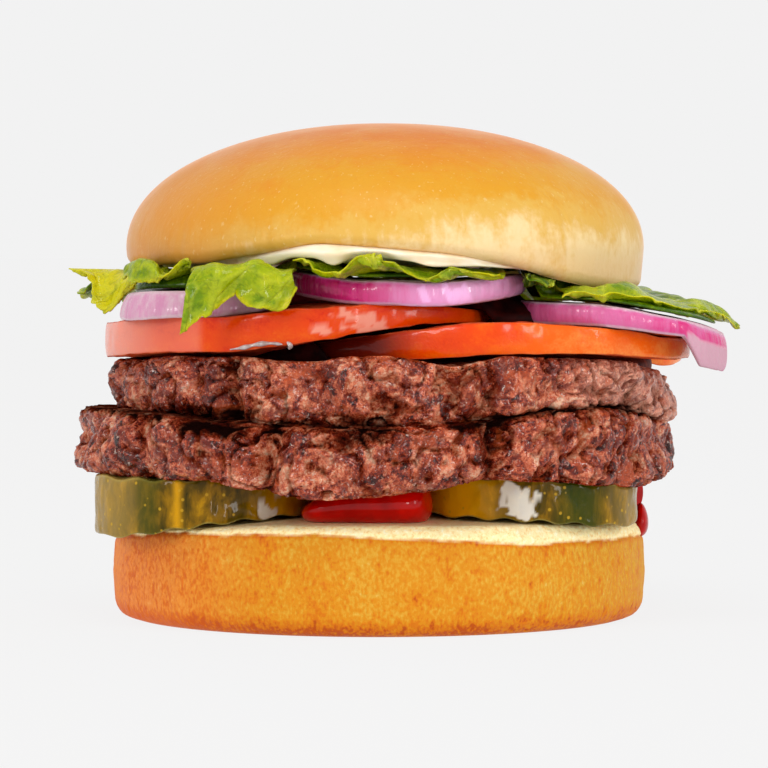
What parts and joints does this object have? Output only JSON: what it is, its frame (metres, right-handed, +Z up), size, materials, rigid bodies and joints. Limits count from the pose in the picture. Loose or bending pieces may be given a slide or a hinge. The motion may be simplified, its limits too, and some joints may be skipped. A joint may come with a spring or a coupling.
{
  "type": "double hamburger",
  "caption": "Double hamburger: soft bun, beef patties, pickles, ketchup, tomato, red onion, lettuce and mayonnaise, stacked to rest on its flat underside.",
  "frame": {"origin": "centre of the flat underside of the lower bun", "axes": "+Z up through the stack, -Y towards the front that shows the folded lettuce leaf, +X to the right"},
  "size_m": [0.1276, 0.1151, 0.0939],
  "materials": {
    "bun": "golden baked crust with a soft egg-wash sheen and pale crumb",
    "pickle": "wet olive green with a darker skin",
    "ketchup": "wet glossy red",
    "beef": "seared rough brown with glossy fat",
    "tomato": "smooth shiny red-orange skin",
    "onion": "moist purple skin with pale flesh",
    "lettuce": "fresh yellow-green leaf with veins",
    "mayonnaise": "smooth creamy sheen"
  },
  "bodies": {
    "root": {"bun_base": "bun", "pickle_left": "pickle", "pickle_right": "pickle", "pickle_back_left": "pickle", "pickle_back_right": "pickle", "ketchup": "ketchup", "patty_lower": "beef", "patty_upper": "beef", "tomato_back": "tomato", "tomato_right": "tomato", "tomato_left": "tomato", "onion_left": "onion", "onion_middle": "onion", "onion_right": "onion", "onion_back": "onion", "lettuce_front": "lettuce", "lettuce_middle": "lettuce", "lettuce_left": "lettuce", "lettuce_curl": "lettuce", "lettuce_right": "lettuce", "lettuce_tuck": "lettuce", "lettuce_back_right": "lettuce", "lettuce_back": "lettuce", "lettuce_back_left": "lettuce", "mayonnaise": "mayonnaise", "bun_top": "bun"}
  },
  "joints": []
}
